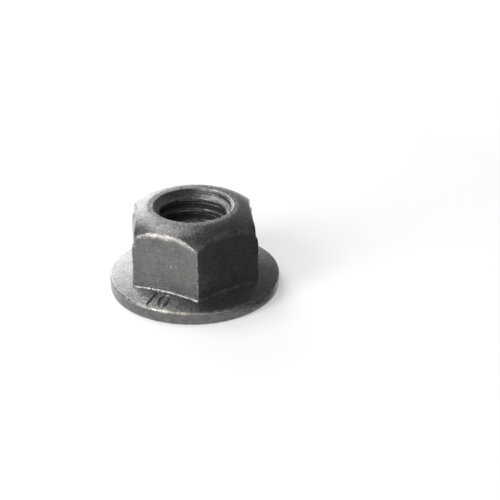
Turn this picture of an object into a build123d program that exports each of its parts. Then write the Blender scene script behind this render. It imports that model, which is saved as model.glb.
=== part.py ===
from build123d import *
import math
import os

# Serrated flange nut, M8 x 1.25, all-metal prevailing-torque pattern, in millimetres.
# The origin is the centre of the bearing face; the bore runs along Z and the hexagon
# has corners on the Y axis. One cold-forged and tapped piece of steel.

# Hexagon
ACROSS_FLATS = 12.85
CORNER_ROUND = 0.30
BASE_FILLET = 0.25

# Dome above the hexagon, ending in a narrow lip round the bore
HEIGHT = 9.10
DOME_HEIGHT = 1.87
LIP_OUTER_RADIUS = 4.75
DOME_BULGE_HEIGHT = 0.38
DOME_EDGE_ROUND = 0.45

# Flange
FLANGE_DIAMETER = 17.80
RIM_HEIGHT = 1.42
RIM_TOP_ROUND = 0.22
RIM_BOTTOM_ROUND = 0.25
FLANGE_SLOPE_DEG = 16.0

# Bore, plain at the thread's crest radius and countersunk at both ends
CREST_RADIUS = 3.40
MOUTH_RADIUS = 4.15
FOOT_COUNTERSINK_RADIUS = 4.25
COUNTERSINK_DEG = 45.0

# Locking serrations in the bearing face: shallow ramp in the tightening direction,
# steep flank against loosening
TOOTH_COUNT = 36
TOOTH_DEPTH = 0.28
TOOTH_CREST_DEG = 1.2
TOOTH_FLANK_DEG = 1.0
LAND_OUTER_RADIUS = 5.15
RIM_LAND = 0.45

# Crimp that pinches the thread: a flat punch marks the top corners of two opposite flats, and the
# weaker wall between the corners bends in with it
CRIMP_FLATS = (0.0, 180.0)
PUNCH_DEPTH = 0.32
PUNCH_BAND = 0.45
BEND_FOOT_HEIGHT = 3.60
BEND_LEAN_DEG = 7.0
BEND_RADIUS = 25.0

APOTHEM = ACROSS_FLATS / 2
SHARP_CORNER = APOTHEM / math.cos(math.pi / 6)
FLAT_HALF_WIDTH = APOTHEM * math.tan(math.pi / 6)
CORNER_RADIUS = SHARP_CORNER - CORNER_ROUND * (1 / math.cos(math.pi / 6) - 1)
SHOULDER_HEIGHT = HEIGHT - DOME_HEIGHT
FLANGE_RADIUS = FLANGE_DIAMETER / 2

# How far a cutter reaches past the metal that it cuts
OVERCUT = 1.0


def dome_blank():
    """Turned envelope: a cylinder just outside the hexagon, domed over to the lip."""
    below = RIM_HEIGHT / 2
    shoulder = (CORNER_RADIUS, SHOULDER_HEIGHT)
    lip = (LIP_OUTER_RADIUS, HEIGHT)
    with BuildPart() as blank:
        with BuildSketch(Plane.XZ):
            with BuildLine():
                Polyline(
                    (0, HEIGHT),
                    (0, below),
                    (SHARP_CORNER, below),
                    (SHARP_CORNER, SHOULDER_HEIGHT),
                    shoulder,
                )
                SagittaArc(shoulder, lip, -DOME_BULGE_HEIGHT)
                Line(lip, (0, HEIGHT))
            make_face()
        revolve(axis=Axis.Z)
    return blank.part


def hexagon_prism():
    """Wrench hexagon with its corners rolled round, corners on the Y axis."""
    with BuildPart() as prism:
        with BuildSketch(Plane.XY):
            RegularPolygon(radius=APOTHEM, side_count=6, major_radius=False, rotation=30)
            fillet(vertices(), CORNER_ROUND)
        extrude(amount=HEIGHT)
    return prism.part


def punch():
    """Flat-faced punch over the top of the flat at angle 0, as wide as the flat."""
    half_width = FLAT_HALF_WIDTH + CORNER_ROUND
    face = APOTHEM - PUNCH_DEPTH
    with BuildPart() as tool:
        with BuildSketch(Plane.XY.offset(SHOULDER_HEIGHT - PUNCH_BAND)):
            with Locations((face, 0)):
                Rectangle(PUNCH_DEPTH + OVERCUT, 2 * half_width, align=(Align.MIN, Align.CENTER))
        extrude(amount=HEIGHT)
    return tool.part


def bend():
    """Cutter for the bent wall: a wide cylinder that leans in over the flat at angle 0 from its foot."""
    lean = math.radians(BEND_LEAN_DEG)
    across = (math.cos(lean), 0, math.sin(lean))
    centre = (APOTHEM + BEND_RADIUS * across[0], 0, BEND_FOOT_HEIGHT + BEND_RADIUS * across[2])
    with BuildPart() as tool:
        with BuildSketch(Plane(origin=centre, x_dir=across, z_dir=(-across[2], 0, across[0]))):
            Circle(BEND_RADIUS)
        extrude(amount=HEIGHT)
    return tool.part


def flange():
    """Turned flange: rounded rim, conical top that runs in under the hexagon."""
    rise = (FLANGE_RADIUS - CREST_RADIUS) * math.tan(math.radians(FLANGE_SLOPE_DEG))
    with BuildPart() as disc:
        with BuildSketch(Plane.XZ):
            with BuildLine():
                Polyline(
                    (0, 0),
                    (FLANGE_RADIUS, 0),
                    (FLANGE_RADIUS, RIM_HEIGHT),
                    (CREST_RADIUS, RIM_HEIGHT + rise),
                    (0, RIM_HEIGHT + rise),
                    close=True,
                )
            make_face()
            rim = vertices().sort_by(Axis.X)[-2:].sort_by(Axis.Z)
            fillet(rim[0], RIM_BOTTOM_ROUND)
            fillet(rim[1], RIM_TOP_ROUND)
        revolve(axis=Axis.Z)
    return disc.part


def bore():
    """Through bore with a countersink at the mouth and one at the foot."""
    tan = math.tan(math.radians(COUNTERSINK_DEG))
    mouth_cone = (MOUTH_RADIUS - CREST_RADIUS) / tan
    foot_cone = (FOOT_COUNTERSINK_RADIUS - CREST_RADIUS) / tan
    with BuildPart() as tool:
        with BuildSketch(Plane.XZ):
            with BuildLine():
                Polyline(
                    (0, -OVERCUT),
                    (FOOT_COUNTERSINK_RADIUS, -OVERCUT),
                    (FOOT_COUNTERSINK_RADIUS, 0),
                    (CREST_RADIUS, foot_cone),
                    (CREST_RADIUS, HEIGHT - mouth_cone),
                    (MOUTH_RADIUS, HEIGHT),
                    (MOUTH_RADIUS, HEIGHT + OVERCUT),
                    (0, HEIGHT + OVERCUT),
                    close=True,
                )
            make_face()
        revolve(axis=Axis.Z)
    return tool.part


def tooth_gap_section(radius):
    """Cross-section of one tooth gap at a radius: ramp, root, steep flank, open below."""
    gap_deg = 360 / TOOTH_COUNT - TOOTH_CREST_DEG

    def across(degrees):
        return radius * math.tan(math.radians(degrees))

    low = -TOOTH_DEPTH
    plane = Plane(origin=(radius, 0, 0), x_dir=(0, 1, 0), z_dir=(1, 0, 0))
    left = across(-gap_deg / 2)
    right = across(gap_deg / 2)
    root = across(-gap_deg / 2 + TOOTH_FLANK_DEG)
    with BuildSketch(plane) as section:
        with BuildLine():
            Polyline((left, 0), (root, TOOTH_DEPTH), (right, 0), (right, low), (left, low), close=True)
        make_face()
    return section.sketch


def serration_gap():
    """One gap, ended inside by the flat land and outside short of the rim by sloped walls."""
    inner = LAND_OUTER_RADIUS
    outer = FLANGE_RADIUS - RIM_BOTTOM_ROUND - RIM_LAND
    ends = [tooth_gap_section(radius).face() for radius in (inner - OVERCUT, outer + OVERCUT)]
    wedge = loft(ends, ruled=True)
    with BuildPart() as ring:
        with BuildSketch(Plane.XZ):
            with BuildLine():
                Polyline(
                    (inner, -TOOTH_DEPTH),
                    (inner, 0),
                    (inner + TOOTH_DEPTH, TOOTH_DEPTH),
                    (outer - TOOTH_DEPTH, TOOTH_DEPTH),
                    (outer, 0),
                    (outer, -TOOTH_DEPTH),
                    close=True,
                )
            make_face()
        revolve(axis=Axis.Z)
    return wedge & ring.part


def curved_edges(solid, low, high, radius):
    """Curved edges whose middle lies between two heights and beyond a radius."""
    found = []
    for edge in solid.edges():
        middle = edge.position_at(0.5)
        if edge.geom_type in (GeomType.LINE, GeomType.CIRCLE):
            continue
        if low < middle.Z < high and math.hypot(middle.X, middle.Y) > radius:
            found.append(edge)
    return found


def wrench_head():
    """Domed hexagon with its dome edge rounded and two opposite flats crimped."""
    head = dome_blank() & hexagon_prism()
    dome_edge = curved_edges(head, SHOULDER_HEIGHT - DOME_EDGE_ROUND, HEIGHT, LIP_OUTER_RADIUS)
    head = head.fillet(DOME_EDGE_ROUND, dome_edge)
    return head - [tool.rotate(Axis.Z, angle) for tool in (punch(), bend()) for angle in CRIMP_FLATS]


def flange_nut():
    """The forged and tapped nut."""
    nut = wrench_head() + flange()
    root = curved_edges(nut, RIM_HEIGHT, BEND_FOOT_HEIGHT, APOTHEM - BASE_FILLET)
    nut = nut.fillet(BASE_FILLET, root)
    nut -= bore()
    gap = serration_gap()
    return nut - [gap.rotate(Axis.Z, 360 / TOOTH_COUNT * index) for index in range(TOOTH_COUNT)]


os.makedirs("parts", exist_ok=True)
export_step(flange_nut(), "parts/flange_nut.step")
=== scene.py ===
import math

import bpy
import numpy as np
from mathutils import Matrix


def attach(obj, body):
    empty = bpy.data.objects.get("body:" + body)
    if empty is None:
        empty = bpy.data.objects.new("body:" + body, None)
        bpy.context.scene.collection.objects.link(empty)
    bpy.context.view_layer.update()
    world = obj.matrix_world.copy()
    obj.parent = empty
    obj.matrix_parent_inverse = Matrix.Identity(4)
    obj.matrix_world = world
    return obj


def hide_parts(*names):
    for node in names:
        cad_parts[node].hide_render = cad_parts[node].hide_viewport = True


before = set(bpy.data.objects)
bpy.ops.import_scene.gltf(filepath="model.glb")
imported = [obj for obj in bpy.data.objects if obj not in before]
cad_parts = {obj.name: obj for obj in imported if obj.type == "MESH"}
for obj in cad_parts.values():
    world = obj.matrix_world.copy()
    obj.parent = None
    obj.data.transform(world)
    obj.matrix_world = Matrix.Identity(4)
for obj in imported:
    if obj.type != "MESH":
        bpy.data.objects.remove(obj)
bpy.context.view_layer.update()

# The camera, at the photograph's viewing angle: a macro lens 128 mm from the nut, looking 27 degrees down
IMAGE_SIDE = 500
FOCAL_LENGTH_PIXELS = 1200.0
lens = bpy.data.cameras.new("camera")
lens.lens = lens.sensor_width * FOCAL_LENGTH_PIXELS / IMAGE_SIDE
lens.clip_start = 0.01
camera = bpy.data.objects.new("camera", lens)
camera.location = (-0.003255, -0.111540, 0.061638)
camera.rotation_euler = [math.radians(turn) for turn in (62.59, 0.20, -4.76)]
bpy.context.collection.objects.link(camera)
bpy.context.scene.camera = camera


# The nut: one piece of medium-carbon steel, cold-forged to a domed hexagon on a conical flange, with
# serrations in its bearing face, and tapped M8 x 1.25. A punch pinches it at two opposite flats, so that
# the last turns of thread grip, and it is manganese-phosphated and oiled. Sizes are in millimetres.
MM = 0.001
APOTHEM = 6.425
CORNER_ROUND = 0.30
HEIGHT = 9.10
SHOULDER_HEIGHT = 7.23
LIP_OUTER_RADIUS = 4.75
LIP_ROUND = 0.12
DOME_BULGE = 0.38
DOME_EDGE_ROUND = 0.80
BASE_FILLET = 0.25
FLANGE_RADIUS = 8.90
RIM_HEIGHT = 1.42
RIM_TOP_ROUND = 0.22
RIM_BOTTOM_ROUND = 0.25
FLANGE_SLOPE = math.radians(16.0)
MOUTH_RADIUS = 4.15
FOOT_RADIUS = 4.25
CREST_RADIUS = 3.40
ROOT_RADIUS = 4.05
PITCH = 1.25
TOOTH_COUNT = 36
TOOTH_DEPTH = 0.28
TOOTH_CREST_SHARE = 0.12
TOOTH_FLANK_SHARE = 0.10
LAND_RADIUS = 5.15
TEETH_RADIUS = 8.20
CRIMP_FLATS = (0.0, 180.0)
PUNCH_DEPTH = 0.32
PUNCH_BAND = 0.45
PUNCH_EDGE = 0.10
BEND_FOOT_HEIGHT = 3.60
BEND_LEAN = math.radians(7.0)
BEND_RADIUS = 25.0
MARK_ANGLES = (-130.0, -111.0)


def column_angles():
    """Angles of the mesh's columns in degrees, closer together at tooth edges, corners and the mark."""
    tooth = 360.0 / TOOTH_COUNT
    half_gap = tooth * (1 - TOOTH_CREST_SHARE) / 2
    root = -half_gap + tooth * TOOTH_FLANK_SHARE
    edge = 0.15
    on_ramp = [-0.9, 1.7]
    steps = [-half_gap - edge, -half_gap + edge, root - edge, root + edge]
    steps += on_ramp + [half_gap - edge, half_gap + edge]
    found = [index * tooth + step for index in range(TOOTH_COUNT) for step in steps]
    corner_steps = (-1.9, -1.35, -0.9, -0.45, 0.0, 0.45, 0.9, 1.35)
    found += [30.0 + 60.0 * index + step for index in range(6) for step in corner_steps]
    found = [angle % 360.0 for angle in found] + [0.0, 360.0]
    low, high = (angle % 360.0 for angle in MARK_ANGLES)
    fine = 0.36
    for angle in np.arange(low, high, fine):
        if min(abs(angle - other) for other in found) > fine / 2:
            found.append(float(angle))
    return np.array(sorted(set(round(angle, 4) for angle in found)))


def hexagon_radius(angles):
    """Distance from the axis to the round-cornered hexagon, flats at 0, 60, ... degrees."""
    off_flat = np.abs((angles + 30.0) % 60.0 - 30.0)
    corner_centre = (APOTHEM - CORNER_ROUND) / math.cos(math.radians(30))
    tangent = math.degrees(math.atan((APOTHEM - CORNER_ROUND) * math.tan(math.radians(30)) / APOTHEM))
    off_corner = np.radians(30.0 - off_flat)
    flat = APOTHEM / np.cos(np.radians(off_flat))
    under = np.maximum(CORNER_ROUND**2 - (corner_centre * np.sin(off_corner)) ** 2, 0.0)
    rounded = corner_centre * np.cos(off_corner) + np.sqrt(under)
    return np.where(off_flat < tangent, flat, rounded)


angles = column_angles()
hexagon = hexagon_radius(angles)


def point(radius, height):
    """A point of the section, one for each column."""
    return np.array([radius + 0 * angles, height + 0 * angles])


def unit(vector):
    return vector / np.sqrt((vector**2).sum(axis=0))


def straight(start, end, steps):
    """Points after the start up to the end."""
    return [start + (end - start) * step / steps for step in range(1, steps + 1)]


def rounded(before, corner, after, radius, steps):
    """Arc that rounds a corner of the section, its two tangent points included."""
    towards, onwards = unit(before - corner), unit(after - corner)
    half = np.arccos(np.clip((towards * onwards).sum(axis=0), -1, 1)) / 2
    centre = corner + unit(towards + onwards) * radius / np.sin(half)
    first = unit(corner + towards * radius / np.tan(half) - centre)
    last = unit(corner + onwards * radius / np.tan(half) - centre)
    side = unit(last - first * (first * last).sum(axis=0))
    sweep = math.pi - 2 * half
    return [
        centre + radius * (first * np.cos(sweep * step / steps) + side * np.sin(sweep * step / steps))
        for step in range(steps + 1)
    ]


# The dome's arc runs through the lip and the hexagon's corner and bulges by a set height between them
corner_radius = hexagon.max()
shoulder = np.array([corner_radius, SHOULDER_HEIGHT])
lip = np.array([LIP_OUTER_RADIUS, HEIGHT])
half_chord = np.linalg.norm(shoulder - lip) / 2
DOME_RADIUS = (half_chord**2 + DOME_BULGE**2) / (2 * DOME_BULGE)
chord = (shoulder - lip) / (2 * half_chord)
inwards = np.array([chord[1], -chord[0]])
dome_centre = (shoulder + lip) / 2 + inwards * (DOME_RADIUS - DOME_BULGE)


def dome_height(radius):
    return dome_centre[1] + np.sqrt(DOME_RADIUS**2 - (radius - dome_centre[0]) ** 2)


def flange_height(radius):
    return RIM_HEIGHT + (FLANGE_RADIUS - radius) * math.tan(FLANGE_SLOPE)


def dome_arc(steps):
    """The dome from the lip's edge to just short of the flat."""
    lip_turn = math.atan2(lip[1] - dome_centre[1], lip[0] - dome_centre[0])
    edge_turn = np.arccos((hexagon - dome_centre[0]) / DOME_RADIUS) + DOME_EDGE_ROUND / 2 / DOME_RADIUS
    found = []
    for step in range(1, steps):
        turn = lip_turn + (edge_turn - lip_turn) * step / steps
        found.append(point(*dome_centre) + DOME_RADIUS * np.array([np.cos(turn), np.sin(turn)]))
    return found


# How far handling has rubbed the coat off each edge, from 0 to 1. On the dome's edge part of this is a
# painted highlight of the round, and on the fillet at the foot of the flats all of it is a painted
# highlight.
COUNTERSINK_WEAR = 0.30
LIP_EDGE_WEAR = 0.70
LIP_WEAR = 0.15
DOME_EDGE_WEAR_AND_HIGHLIGHT = 0.50
CORNER_WEAR = 0.55
CORNER_WEAR_DEGREES = 1.4
FLAT_FOOT_HIGHLIGHT = 0.45
RIM_TOP_WEAR = 0.62
RIM_BOTTOM_WEAR = 0.40
TOOTH_CREST_WEAR = 0.70
THREAD_CREST_WEAR = 0.45
rows = []
burnish = []


def lay(points, wear_and_highlight_amount=0.0):
    """Adds rows to the section, each with how far its coat is worn off or painted with a highlight."""
    for row in points:
        rows.append(row)
        burnish.append(wear_and_highlight_amount + 0 * angles)


mouth_end = point(ROOT_RADIUS, HEIGHT - (MOUTH_RADIUS - ROOT_RADIUS))
lip_inner = point(MOUTH_RADIUS, HEIGHT)
lip_outer = point(LIP_OUTER_RADIUS, HEIGHT)
dome_edge = point(hexagon, dome_height(hexagon))
dome_tangent = dome_edge + unit(
    np.array([dome_centre[1] - dome_height(hexagon), hexagon - dome_centre[0]])
)
band = SHOULDER_HEIGHT - PUNCH_BAND
flat_foot = point(hexagon, flange_height(hexagon))
rim_top = point(FLANGE_RADIUS, RIM_HEIGHT)
rim_bottom = point(FLANGE_RADIUS, 0.0)
foot_edge = point(FOOT_RADIUS, 0.0)
foot_end = point(ROOT_RADIUS, FOOT_RADIUS - ROOT_RADIUS)

# The section from the mouth down the outside, across the bearing face and up the bore. The last number in
# each rounded, straight and dome_arc call is how many steps of mesh it takes.
lay([mouth_end], COUNTERSINK_WEAR)
lay(rounded(mouth_end, lip_inner, lip_outer, LIP_ROUND, 5), LIP_EDGE_WEAR)
lay(straight(rows[-1], lip_outer, 5), LIP_WEAR)
lay(dome_arc(22))
# The dome's rounded edge: worn coat, and a painted highlight of the round in the same bare colour
lay(rounded(dome_tangent, dome_edge, flat_foot, DOME_EDGE_ROUND, 7), DOME_EDGE_WEAR_AND_HIGHLIGHT)
corner_wear = CORNER_WEAR * np.exp(-(((angles % 60.0 - 30.0) / CORNER_WEAR_DEGREES) ** 2))
lay(straight(rows[-1], point(hexagon, band + PUNCH_EDGE / 2), 6), corner_wear)
lay(straight(rows[-1], point(hexagon, band - PUNCH_EDGE / 2), 3), corner_wear)
foot_round = rounded(dome_edge, flat_foot, rim_top, BASE_FILLET, 7)
lay(straight(rows[-1], foot_round[0], 9)[:-1], corner_wear)
# The fillet at the foot of each flat: bare colour painted as a highlight of the fillet
lay(foot_round, FLAT_FOOT_HIGHLIGHT)
rim_round = rounded(flat_foot, rim_top, rim_bottom, RIM_TOP_ROUND, 6)
lay(straight(rows[-1], rim_round[0], 34)[:-1])
lay(rim_round, RIM_TOP_WEAR)
bottom_round = rounded(rim_top, rim_bottom, foot_edge, RIM_BOTTOM_ROUND, 6)
lay(straight(rows[-1], bottom_round[0], 5)[:-1])
lay(bottom_round, RIM_BOTTOM_WEAR)
first_face_row = len(rows)
ring = [TEETH_RADIUS + 0.02, TEETH_RADIUS - 0.02, TEETH_RADIUS - TOOTH_DEPTH / 2]
ring += list(np.linspace(TEETH_RADIUS - TOOTH_DEPTH, LAND_RADIUS + TOOTH_DEPTH, 7))
ring += [LAND_RADIUS + TOOTH_DEPTH / 2, LAND_RADIUS + 0.02, LAND_RADIUS - 0.02]
lay([point(radius, 0.0) for radius in ring])
last_face_row = len(rows)
lay(rounded(rim_bottom, foot_edge, foot_end, LIP_ROUND, 3), COUNTERSINK_WEAR)
first_thread_row = len(rows)

# Rows of the thread, counted in pitches up the helix, closer at the edges of crest and root
ROOT_WIDTH = PITCH / 8
FLANK_WIDTH = (ROOT_RADIUS - CREST_RADIUS) * math.tan(math.radians(30))
crest_share = 1 - (ROOT_WIDTH + 2 * FLANK_WIDTH) / PITCH
flank_share = FLANK_WIDTH / PITCH
root_start = crest_share + flank_share
root_end = 1 - flank_share
edge = 0.012
steps = [edge, crest_share / 2, crest_share - edge, crest_share + edge]
steps += [crest_share + flank_share * share for share in (0.3, 0.55, 0.8)]
steps += [root_start - edge, root_start + edge, (root_start + root_end) / 2]
steps += [root_end - edge, root_end + edge]
steps += [root_end + flank_share * share for share in (0.2, 0.45, 0.7)]
steps += [1 - edge]
low_end, high_end = foot_end[1, 0], mouth_end[1, 0]
climb = (high_end - low_end) / PITCH + 1
pitches = [turn + step for turn in range(math.ceil(climb)) for step in steps if turn + step < climb]
pitches = [0.0] + pitches + [climb]
lay([point(CREST_RADIUS, low_end + (high_end - low_end) * rise / climb) for rise in pitches])
row_pitches = [-1.0] * first_thread_row + pitches

turns = np.radians(angles)
section = np.array(rows)
x = section[:, 0] * np.cos(turns)
y = section[:, 0] * np.sin(turns)
z = section[:, 1].copy()


def crimp(flat_angle):
    """How far the crimp moves each point: the flat punch at the top, and the wall that leans in with it."""
    turn = math.radians(flat_angle)
    out = x * math.cos(turn) + y * math.sin(turn)
    across = y * math.cos(turn) - x * math.sin(turn)
    punched = (out - APOTHEM + PUNCH_DEPTH) * np.clip((z - band) / PUNCH_EDGE + 0.5, 0.0, 1.0)
    sagitta = BEND_RADIUS - np.sqrt(BEND_RADIUS**2 - across**2)
    wall = APOTHEM + sagitta / math.cos(BEND_LEAN) - (z - BEND_FOOT_HEIGHT) * math.tan(BEND_LEAN)
    bent = np.where(z > BEND_FOOT_HEIGHT, out - wall, 0.0)
    push = np.maximum(np.maximum(punched, bent), 0.0)
    return push * math.cos(turn), push * math.sin(turn)


for flat in CRIMP_FLATS:
    push_x, push_y = crimp(flat)
    x = x - push_x
    y = y - push_y

row_count, column_count = x.shape
coordinates = np.stack([x, y, z], axis=-1).reshape(-1, 3) * MM
index = np.arange(row_count * column_count).reshape(row_count, column_count)
this, after = index[:-1], index[1:]
faces = np.stack([this[:, :-1], after[:, :-1], after[:, 1:], this[:, 1:]], axis=-1).reshape(-1, 4)

mesh = bpy.data.meshes.new("flange_nut_forged")
mesh.from_pydata(coordinates.tolist(), [], faces.tolist())
nut = bpy.data.objects.new("flange_nut_forged", mesh)
bpy.context.collection.objects.link(nut)


def point_attribute(name, values):
    layer = mesh.attributes.new(name, "FLOAT", "POINT")
    layer.data.foreach_set("value", np.asarray(values, np.float32).ravel())


on_face = np.zeros((row_count, column_count))
on_face[first_face_row:last_face_row] = 1.0
point_attribute("around", np.tile(angles / 360.0, (row_count, 1)))
point_attribute("thread_rise", np.repeat(row_pitches, column_count))
point_attribute("bearing_face", on_face)
point_attribute("burnish", np.array(burnish))


def add_node(tree, kind, inputs=(), **settings):
    """Adds a node: inputs are plain values, sockets, or nodes that give their first output."""
    node = tree.nodes.new(kind)
    for name, value in settings.items():
        setattr(node, name, value)
    for place, value in inputs.items() if isinstance(inputs, dict) else enumerate(inputs):
        if isinstance(value, bpy.types.Node):
            value = value.outputs[0]
        if isinstance(value, bpy.types.NodeSocket):
            tree.links.new(value, node.inputs[place])
        elif value is not None:
            node.inputs[place].default_value = value
    return node


def colour(hex_value):
    """An sRGB hex value as linear RGBA."""
    parts = [int(hex_value[place:place + 2], 16) / 255 for place in (1, 3, 5)]
    linear = [part / 12.92 if part <= 0.04045 else ((part + 0.055) / 1.055) ** 2.4 for part in parts]
    return (*linear, 1.0)


def plain_material(name):
    """A new material and its emptied node tree."""
    material = bpy.data.materials.new(name)
    material.use_nodes = True
    material.node_tree.nodes.clear()
    return material, material.node_tree


# Manganese-phosphated and oiled forged steel. The coat is dark crystals soaked with oil: a soft sheen that
# sparkles where grains face the light, cloudy over the forging scale, with brown stains where oil has dried
# and a few pale specks. Handling has rubbed the sharpest edges to bare steel, and the same pale colour is
# painted as a highlight on the dome's rounded edge and on the fillets at the flats' feet. Real crystals are
# about 0.02 mm across, too fine to show, so the grain is drawn at 0.12 mm.
DARK_COAT = "#545455"
LIGHT_COAT = "#666667"
DRIED_OIL = "#70675a"
PALE_FLECK = "#a2a09c"
BARE_STEEL_AND_HIGHLIGHT = "#b0aba3"
CLOUD_MM = 1.1
GRAIN_MM = 0.12
STAIN_MM = 0.60
FLECK_MM = 0.24
TOOL_FEED_MM = 0.20
RELIEF_MM = 0.030
steel, finish = plain_material("oiled_phosphated_steel")
place = add_node(finish, "ShaderNodeTexCoord").outputs["Object"]
in_mm = add_node(finish, "ShaderNodeVectorMath", (place, (1 / MM,) * 3), operation="MULTIPLY")
cloud, grain, stain, fleck = [
    add_node(
        finish,
        "ShaderNodeTexNoise",
        {"Vector": in_mm, "Scale": 1 / size, "Detail": detail, "Roughness": roughness},
    )
    for size, detail, roughness in (
        (CLOUD_MM, 6.0, 0.6),
        (GRAIN_MM, 2.0, 0.6),
        (STAIN_MM, 5.0, 0.7),
        (FLECK_MM, 1.0, 0.5),
    )
]
coat = add_node(finish, "ShaderNodeValToRGB", (cloud,))
coat.color_ramp.elements[0].position = 0.30
coat.color_ramp.elements[0].color = colour(DARK_COAT)
coat.color_ramp.elements[1].position = 0.70
coat.color_ramp.elements[1].color = colour(LIGHT_COAT)
sparkle = add_node(finish, "ShaderNodeMapRange", (grain, 0.32, 0.68, 0.20, 0.80))
grained = add_node(
    finish, "ShaderNodeMix", {0: 0.65, 6: coat, 7: sparkle}, data_type="RGBA", blend_type="OVERLAY"
).outputs[2]
brown = add_node(finish, "ShaderNodeMapRange", (stain, 0.50, 0.72, 0.0, 0.70))
stained = add_node(
    finish, "ShaderNodeMix", {0: brown, 6: grained, 7: colour(DRIED_OIL)}, data_type="RGBA"
).outputs[2]
# Pale specks where the fleck noise peaks
fleck_share = add_node(finish, "ShaderNodeMapRange", (fleck, 0.68, 0.78, 0.0, 0.50))
flecked = add_node(
    finish, "ShaderNodeMix", {0: fleck_share, 6: stained, 7: colour(PALE_FLECK)}, data_type="RGBA"
).outputs[2]
# Bare steel where handling wore the coat, and the same colour as a painted highlight on the dome's edge and
# the flats' feet
wear_and_highlight_amount = add_node(finish, "ShaderNodeAttribute", attribute_name="burnish").outputs["Fac"]
patchy = add_node(finish, "ShaderNodeMath", (stain, 1.7), operation="MULTIPLY")
bare_and_highlight = add_node(finish, "ShaderNodeMath", (wear_and_highlight_amount, patchy), operation="MULTIPLY")
bare_and_highlight_part = add_node(finish, "ShaderNodeMapRange", (bare_and_highlight, 0.34, 1.00, 0.0, 1.0))
shade = add_node(
    finish, "ShaderNodeMix", {0: bare_and_highlight_part, 6: flecked, 7: colour(BARE_STEEL_AND_HIGHLIGHT)}, data_type="RGBA"
).outputs[2]
gloss = add_node(finish, "ShaderNodeMapRange", (cloud, 0.3, 0.7, 0.30, 0.23))
gloss_worn_and_highlight = add_node(finish, "ShaderNodeMix", {0: bare_and_highlight_part, 2: gloss, 3: 0.30})
# The countersinks keep the tool's rings. At scale 1 a wave texture's bands are tau / 20 apart.
turned = add_node(finish, "ShaderNodeAttribute", attribute_name="turned").outputs["Fac"]
tool_lines = add_node(
    finish,
    "ShaderNodeTexWave",
    {"Vector": in_mm, "Scale": math.tau / 20 / TOOL_FEED_MM, "Distortion": 0.4},
    bands_direction="Z",
)
cut_lines = add_node(finish, "ShaderNodeMath", (tool_lines, turned), operation="MULTIPLY")
crystals = add_node(finish, "ShaderNodeMath", (grain, 1.4, fleck), operation="MULTIPLY_ADD")
relief = add_node(finish, "ShaderNodeMath", (cut_lines, 0.8, crystals), operation="MULTIPLY_ADD")
bump = add_node(finish, "ShaderNodeBump", {"Strength": 0.8, "Distance": RELIEF_MM * MM, "Height": relief})
surface = add_node(
    finish,
    "ShaderNodeBsdfPrincipled",
    {"Base Color": shade, "Metallic": 0.8, "Roughness": gloss_worn_and_highlight, "Normal": bump},
)
add_node(finish, "ShaderNodeOutputMaterial", (surface,))


def geometry_tree(name, labels):
    """A new Geometry Nodes tree with named inputs: the tree, its inputs' sockets and their identifiers."""
    tree = bpy.data.node_groups.new(name, "GeometryNodeTree")
    tree.interface.new_socket("Geometry", in_out="INPUT", socket_type="NodeSocketGeometry")
    identifiers = {}
    for label, kind in labels.items():
        identifiers[label] = tree.interface.new_socket(label, in_out="INPUT", socket_type=kind).identifier
    tree.interface.new_socket("Geometry", in_out="OUTPUT", socket_type="NodeSocketGeometry")
    return tree, tree.nodes.new("NodeGroupInput").outputs, identifiers


def end_tree(tree, result):
    """Every tree ends in real geometry with the nut's finish on it."""
    real = add_node(tree, "GeometryNodeRealizeInstances", (result,))
    finished = add_node(tree, "GeometryNodeSetMaterial", (real, None, steel))
    add_node(tree, "NodeGroupOutput", (finished,))


def run_tree(target, tree, identifiers, values):
    """Puts the tree on the object as a modifier, sets its inputs and keeps the result as a plain mesh."""
    modifier = target.modifiers.new(tree.name, "NODES")
    modifier.node_group = tree
    for label, value in values.items():
        modifier[identifiers[label]] = value
    shaped = target.evaluated_get(bpy.context.evaluated_depsgraph_get())
    done = bpy.data.meshes.new_from_object(shaped)
    target.modifiers.clear()
    target.data = done


# Locking serrations, coined in the forging die: each tooth is a shallow ramp that slides when the nut is
# tightened and a steep flank that bites against loosening. They end in sloped walls inside and outside.
FLOAT = "NodeSocketFloat"
tree, given, identifiers = geometry_tree(
    "coin_serrations",
    {
        "Teeth": FLOAT,
        "Depth": FLOAT,
        "Crest Share": FLOAT,
        "Flank Share": FLOAT,
        "Inner Radius": FLOAT,
        "Outer Radius": FLOAT,
    },
)
around = add_node(tree, "GeometryNodeInputNamedAttribute", ("around",), data_type="FLOAT")
on_bearing = add_node(tree, "GeometryNodeInputNamedAttribute", ("bearing_face",), data_type="FLOAT")
gap = add_node(tree, "ShaderNodeMath", (1.0, given["Crest Share"]), operation="SUBTRACT")
half_gap = add_node(tree, "ShaderNodeMath", (gap, 0.5), operation="MULTIPLY")
tooth = add_node(tree, "ShaderNodeMath", (around, given["Teeth"], half_gap), operation="MULTIPLY_ADD")
phase = add_node(tree, "ShaderNodeMath", (tooth,), operation="FRACT")
flank = add_node(tree, "ShaderNodeMapRange", (phase, 0.0, given["Flank Share"], 0.0, 1.0))
ramp = add_node(tree, "ShaderNodeMapRange", (phase, given["Flank Share"], gap, 1.0, 0.0))
cut = add_node(tree, "ShaderNodeMath", (flank, ramp), operation="MINIMUM")
deep = add_node(tree, "ShaderNodeMath", (cut, given["Depth"]), operation="MULTIPLY")
position = add_node(tree, "GeometryNodeInputPosition")
radius = add_node(tree, "ShaderNodeVectorMath", (position,), operation="LENGTH").outputs["Value"]
from_inside = add_node(tree, "ShaderNodeMath", (radius, given["Inner Radius"]), operation="SUBTRACT")
from_outside = add_node(tree, "ShaderNodeMath", (given["Outer Radius"], radius), operation="SUBTRACT")
wall = add_node(tree, "ShaderNodeMath", (from_inside, from_outside), operation="MINIMUM")
limited = add_node(tree, "ShaderNodeMath", (deep, wall), operation="MINIMUM")
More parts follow.
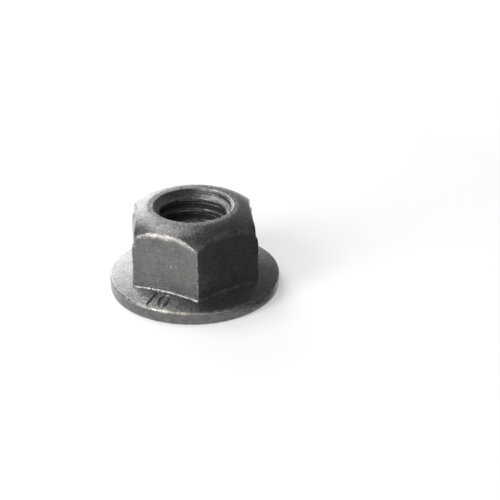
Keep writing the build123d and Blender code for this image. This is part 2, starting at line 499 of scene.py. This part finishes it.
lift = add_node(tree, "ShaderNodeMath", (limited, 0.0), operation="MAXIMUM")
upwards = add_node(tree, "ShaderNodeCombineXYZ", (0.0, 0.0, lift))
moved = add_node(
    tree,
    "GeometryNodeSetPosition",
    {"Geometry": given["Geometry"], "Selection": on_bearing, "Offset": upwards},
)
crest_wear = add_node(tree, "ShaderNodeMapRange", (lift, 0.0, 0.03 * MM, TOOTH_CREST_WEAR, 0.0))
worn_crest = add_node(
    tree,
    "GeometryNodeStoreNamedAttribute",
    {"Geometry": moved, "Selection": on_bearing, "Name": "burnish", "Value": crest_wear},
    data_type="FLOAT",
)
end_tree(tree, worn_crest)
run_tree(
    nut,
    tree,
    identifiers,
    {
        "Teeth": float(TOOTH_COUNT),
        "Depth": TOOTH_DEPTH * MM,
        "Crest Share": TOOTH_CREST_SHARE,
        "Flank Share": TOOTH_FLANK_SHARE,
        "Inner Radius": LAND_RADIUS * MM,
        "Outer Radius": TEETH_RADIUS * MM,
    },
)

# The strength class, a plain 10, pressed into the flange under one flat by the forging die: strokes with
# sloped walls that the phosphate softens. The strokes lie on the cone, tops towards the bore.
FIGURE_HEIGHT = 1.75
FIGURE_RADIUS = 7.56
ONE_ANGLE = -126.6
ZERO_ANGLE = -116.4
ZERO_HALF_HEIGHT = 0.38 * FIGURE_HEIGHT
ZERO_HALF_WIDTH = 0.47
STROKE_WIDTH = 0.26
STROKE_FLOOR_SHARE = 0.25
STROKE_DEPTH = 0.14


def on_flange(angle, up, across):
    """A point on the flange's cone, from the middle of a figure at an angle."""
    turn = math.radians(angle)
    inwards, sideways = (-math.cos(turn), -math.sin(turn)), (-math.sin(turn), math.cos(turn))
    x = FIGURE_RADIUS * math.cos(turn) + up * inwards[0] + across * sideways[0]
    y = FIGURE_RADIUS * math.sin(turn) + up * inwards[1] + across * sideways[1]
    return (x * MM, y * MM, flange_height(math.hypot(x, y)) * MM)


one = [on_flange(ONE_ANGLE, share * FIGURE_HEIGHT, 0.0) for share in np.linspace(-0.5, 0.5, 8)]
zero = [
    on_flange(ZERO_ANGLE, ZERO_HALF_HEIGHT * math.sin(turn), ZERO_HALF_WIDTH * math.cos(turn))
    for turn in np.radians(np.arange(0, 360, 15))
]
edges = [(place, place + 1) for place in range(len(one) - 1)]
edges += [(len(one) + place, len(one) + (place + 1) % len(zero)) for place in range(len(zero))]
stroke_mesh = bpy.data.meshes.new("mark_strokes")
stroke_mesh.from_pydata(one + zero, edges, [])
strokes = bpy.data.objects.new("mark_strokes", stroke_mesh)
bpy.context.collection.objects.link(strokes)

tree, given, identifiers = geometry_tree(
    "press_mark", {"Strokes": "NodeSocketObject", "Stroke Width": FLOAT, "Stroke Depth": FLOAT}
)
line = add_node(tree, "GeometryNodeObjectInfo", (given["Strokes"],))
near = add_node(tree, "GeometryNodeProximity", (line.outputs["Geometry"],), target_element="EDGES")
half_width = add_node(tree, "ShaderNodeMath", (given["Stroke Width"], 0.5), operation="MULTIPLY")
floor_width = add_node(tree, "ShaderNodeMath", (half_width, STROKE_FLOOR_SHARE), operation="MULTIPLY")
pressed = add_node(
    tree,
    "ShaderNodeMapRange",
    (near.outputs["Distance"], floor_width, half_width, given["Stroke Depth"], 0.0),
    interpolation_type="SMOOTHSTEP",
)
sunk = add_node(tree, "ShaderNodeMath", (pressed, -1.0), operation="MULTIPLY")
downwards = add_node(tree, "ShaderNodeCombineXYZ", (0.0, 0.0, sunk))
stamped = add_node(tree, "GeometryNodeSetPosition", {"Geometry": given["Geometry"], "Offset": downwards})
end_tree(tree, stamped)
run_tree(
    nut,
    tree,
    identifiers,
    {"Strokes": strokes, "Stroke Width": STROKE_WIDTH * MM, "Stroke Depth": STROKE_DEPTH * MM},
)
bpy.data.objects.remove(strokes)

# The M8 x 1.25 right-hand thread, tapped after forging: a helical groove with 60 degree flanks that runs
# out in the countersink at each end. The rows already lie in pitches, so the tree only winds and cuts them,
# and welds the seam of the mesh and the rows that meet at its ends.
WELD_DISTANCE = 0.0002
tree, given, identifiers = geometry_tree(
    "tap_thread",
    {
        "Pitch": FLOAT,
        "Crest Radius": FLOAT,
        "Root Radius": FLOAT,
        "Low End": FLOAT,
        "High End": FLOAT,
        "Crest Share": FLOAT,
        "Flank Share": FLOAT,
    },
)
around = add_node(tree, "GeometryNodeInputNamedAttribute", ("around",), data_type="FLOAT")
rise = add_node(tree, "GeometryNodeInputNamedAttribute", ("thread_rise",), data_type="FLOAT")
on_thread = add_node(tree, "ShaderNodeMath", (rise, -0.5), operation="GREATER_THAN")
phase = add_node(tree, "ShaderNodeMath", (rise,), operation="FRACT")
crest_end = add_node(tree, "ShaderNodeMath", (given["Crest Share"], given["Flank Share"]), operation="ADD")
flank_from = add_node(tree, "ShaderNodeMath", (1.0, given["Flank Share"]), operation="SUBTRACT")
upper = add_node(tree, "ShaderNodeMapRange", (phase, given["Crest Share"], crest_end, 0.0, 1.0))
lower = add_node(tree, "ShaderNodeMapRange", (phase, flank_from, 1.0, 1.0, 0.0))
groove = add_node(tree, "ShaderNodeMath", (upper, lower), operation="MINIMUM")
bore_radius = add_node(
    tree, "ShaderNodeMapRange", (groove, 0.0, 1.0, given["Crest Radius"], given["Root Radius"])
)
turn = add_node(tree, "ShaderNodeMath", (rise, around), operation="ADD")
one_less = add_node(tree, "ShaderNodeMath", (turn, 1.0), operation="SUBTRACT")
free_height = add_node(
    tree, "ShaderNodeMath", (one_less, given["Pitch"], given["Low End"]), operation="MULTIPLY_ADD"
)
height = add_node(tree, "ShaderNodeClamp", (free_height, given["Low End"], given["High End"]))
above_low = add_node(tree, "ShaderNodeMath", (height, given["Low End"]), operation="SUBTRACT")
below_high = add_node(tree, "ShaderNodeMath", (given["High End"], height), operation="SUBTRACT")
to_end = add_node(tree, "ShaderNodeMath", (above_low, below_high), operation="MINIMUM")
cone = add_node(tree, "ShaderNodeMath", (given["Root Radius"], to_end), operation="SUBTRACT")
radius = add_node(tree, "ShaderNodeMath", (bore_radius, cone), operation="MAXIMUM")
angle = add_node(tree, "ShaderNodeMath", (around, math.tau), operation="MULTIPLY")
cosine = add_node(tree, "ShaderNodeMath", (angle,), operation="COSINE")
sine = add_node(tree, "ShaderNodeMath", (angle,), operation="SINE")
x_place = add_node(tree, "ShaderNodeMath", (radius, cosine), operation="MULTIPLY")
y_place = add_node(tree, "ShaderNodeMath", (radius, sine), operation="MULTIPLY")
wound = add_node(tree, "ShaderNodeCombineXYZ", (x_place, y_place, height))
tapped = add_node(
    tree,
    "GeometryNodeSetPosition",
    {"Geometry": given["Geometry"], "Selection": on_thread, "Position": wound},
)
rubbed = add_node(tree, "ShaderNodeMapRange", (groove, 0.0, 0.12, THREAD_CREST_WEAR, 0.0))
worn_crest = add_node(
    tree,
    "GeometryNodeStoreNamedAttribute",
    {"Geometry": tapped, "Selection": on_thread, "Name": "burnish", "Value": rubbed},
    data_type="FLOAT",
)
in_cone = add_node(tree, "ShaderNodeMath", (cone, bore_radius), operation="GREATER_THAN")
turned = add_node(
    tree,
    "GeometryNodeStoreNamedAttribute",
    {"Geometry": worn_crest, "Selection": on_thread, "Name": "turned", "Value": in_cone},
    data_type="FLOAT",
)
closed = add_node(
    tree, "GeometryNodeMergeByDistance", {"Geometry": turned, "Distance": WELD_DISTANCE * MM}
)
end_tree(tree, closed)
run_tree(
    nut,
    tree,
    identifiers,
    {
        "Pitch": PITCH * MM,
        "Crest Radius": CREST_RADIUS * MM,
        "Root Radius": ROOT_RADIUS * MM,
        "Low End": low_end * MM,
        "High End": high_end * MM,
        "Crest Share": crest_share,
        "Flank Share": flank_share,
    },
)
for face in nut.data.polygons:
    face.use_smooth = True
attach(nut, "root")
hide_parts("flange_nut")


# The stage: a white paper sweep under a dark ceiling, and a grey card at the right, out of the camera's
# sight, that gives the flat on that side its tone. The paper glows for the camera, least near the nut, so
# that the shadow shows, and more in reflections, because overexposed paper is brighter than white.
def stage_plane(name, width, depth, material):
    """A flat rectangle that belongs to the stage."""
    plane = bpy.data.meshes.new(name)
    corners = [(x * width / 2, y * depth / 2, 0.0) for x, y in ((-1, -1), (1, -1), (1, 1), (-1, 1))]
    plane.from_pydata(corners, [], [(0, 1, 2, 3)])
    plane.materials.append(material)
    card = bpy.data.objects.new(name, plane)
    bpy.context.collection.objects.link(card)
    return card


def facing_nut(thing, azimuth, elevation, distance):
    """Puts a card or lamp at an azimuth and an elevation from the nut, with its -Z side to the nut."""
    around, up = math.radians(azimuth), math.radians(elevation)
    reach = distance * math.cos(up)
    thing.location = (reach * math.cos(around), reach * math.sin(around), distance * math.sin(up))
    thing.rotation_euler = (math.pi / 2 - up, 0.0, around + math.pi / 2)


FLOOR_SIDE = 1.2
PAPER_GREY = "#b4b4b4"
PAPER_GLOW = 0.40
REFLECTED_GLOW = 0.76
SHADOW_REACH = 0.05
SWEEP_REACH = 0.25
WHITE = colour("#ffffff")
paper, tree = plain_material("white_paper")
rays = add_node(tree, "ShaderNodeLightPath").outputs
lit = add_node(tree, "ShaderNodeBsdfDiffuse", (colour(PAPER_GREY),))
place = add_node(tree, "ShaderNodeTexCoord").outputs["Object"]
from_nut = add_node(tree, "ShaderNodeVectorMath", (place,), operation="LENGTH").outputs["Value"]
paper_glow = add_node(tree, "ShaderNodeMapRange", (from_nut, SHADOW_REACH, SWEEP_REACH, PAPER_GLOW, 1.0))
seen = add_node(tree, "ShaderNodeMath", (rays["Is Camera Ray"], paper_glow), operation="MULTIPLY")
strength = add_node(
    tree, "ShaderNodeMath", (rays["Is Glossy Ray"], REFLECTED_GLOW, seen), operation="MULTIPLY_ADD"
)
glow = add_node(tree, "ShaderNodeEmission", (WHITE, strength))
both = add_node(tree, "ShaderNodeAddShader", (lit, glow))
add_node(tree, "ShaderNodeOutputMaterial", (both,))
stage_plane("floor", FLOOR_SIDE, FLOOR_SIDE, paper)

CARD_WIDTH = 0.022
CARD_HEIGHT = 0.020
CARD_DISTANCE = 0.0093
CARD_GLOW = 0.11
board, tree = plain_material("grey_board")
grey = add_node(tree, "ShaderNodeEmission", (WHITE, CARD_GLOW))
add_node(tree, "ShaderNodeOutputMaterial", (grey,))
card = stage_plane("grey_card", CARD_WIDTH, CARD_HEIGHT, board)
facing_nut(card, -30.0, 4.0, CARD_DISTANCE)
card.visible_camera = False
card.visible_diffuse = False
card.visible_shadow = False

# The room: white to the camera, an even light on dull surfaces, and in reflections a sweep that darkens
# from 20 degrees up to a ceiling at 53. Both heights are written as sines.
SWEEP_TOP = 0.35
CEILING = 0.80
SWEEP_GLOW = 0.5
CEILING_GLOW = 0.03
ROOM_LIGHT = 0.34
world = bpy.data.worlds.new("studio")
bpy.context.scene.world = world
world.use_nodes = True
tree = world.node_tree
tree.nodes.clear()
rays = add_node(tree, "ShaderNodeLightPath").outputs
direction = add_node(tree, "ShaderNodeTexCoord").outputs["Generated"]
upwards = add_node(tree, "ShaderNodeSeparateXYZ", (direction,)).outputs["Z"]
sweep = add_node(
    tree,
    "ShaderNodeMapRange",
    (upwards, SWEEP_TOP, CEILING, SWEEP_GLOW, CEILING_GLOW),
    interpolation_type="SMOOTHSTEP",
)
room = add_node(tree, "ShaderNodeMix", {0: rays["Is Glossy Ray"], 2: ROOM_LIGHT, 3: sweep})
level = add_node(tree, "ShaderNodeMix", {0: rays["Is Camera Ray"], 2: room, 3: 1.0})
sky = add_node(tree, "ShaderNodeBackground", (WHITE, level))
add_node(tree, "ShaderNodeOutputWorld", (sky,))


def softbox(name, watts, width, height, azimuth, elevation, distance):
    """A rectangular area light that faces the nut."""
    lamp = bpy.data.lights.new(name, "AREA")
    lamp.shape = "RECTANGLE"
    lamp.energy = watts
    lamp.size = width
    lamp.size_y = height
    light = bpy.data.objects.new(name, lamp)
    facing_nut(light, azimuth, elevation, distance)
    bpy.context.collection.objects.link(light)


# A tall panel behind and a window at the left, two small lamps above that give the dome its highlight, and
# a weak fill from the front
softbox("back_panel", 0.92, 0.22, 0.30, 109.0, 19.0, 0.40)
softbox("window", 1.40, 0.14, 0.28, 212.0, 27.0, 0.35)
softbox("skylight", 0.38, 0.10, 0.10, 130.0, 60.0, 0.35)
softbox("top_light", 0.12, 0.08, 0.08, 156.0, 66.0, 0.35)
softbox("front_fill", 0.36, 0.16, 0.18, 250.0, 25.0, 0.35)

bpy.context.scene.view_settings.view_transform = "Standard"
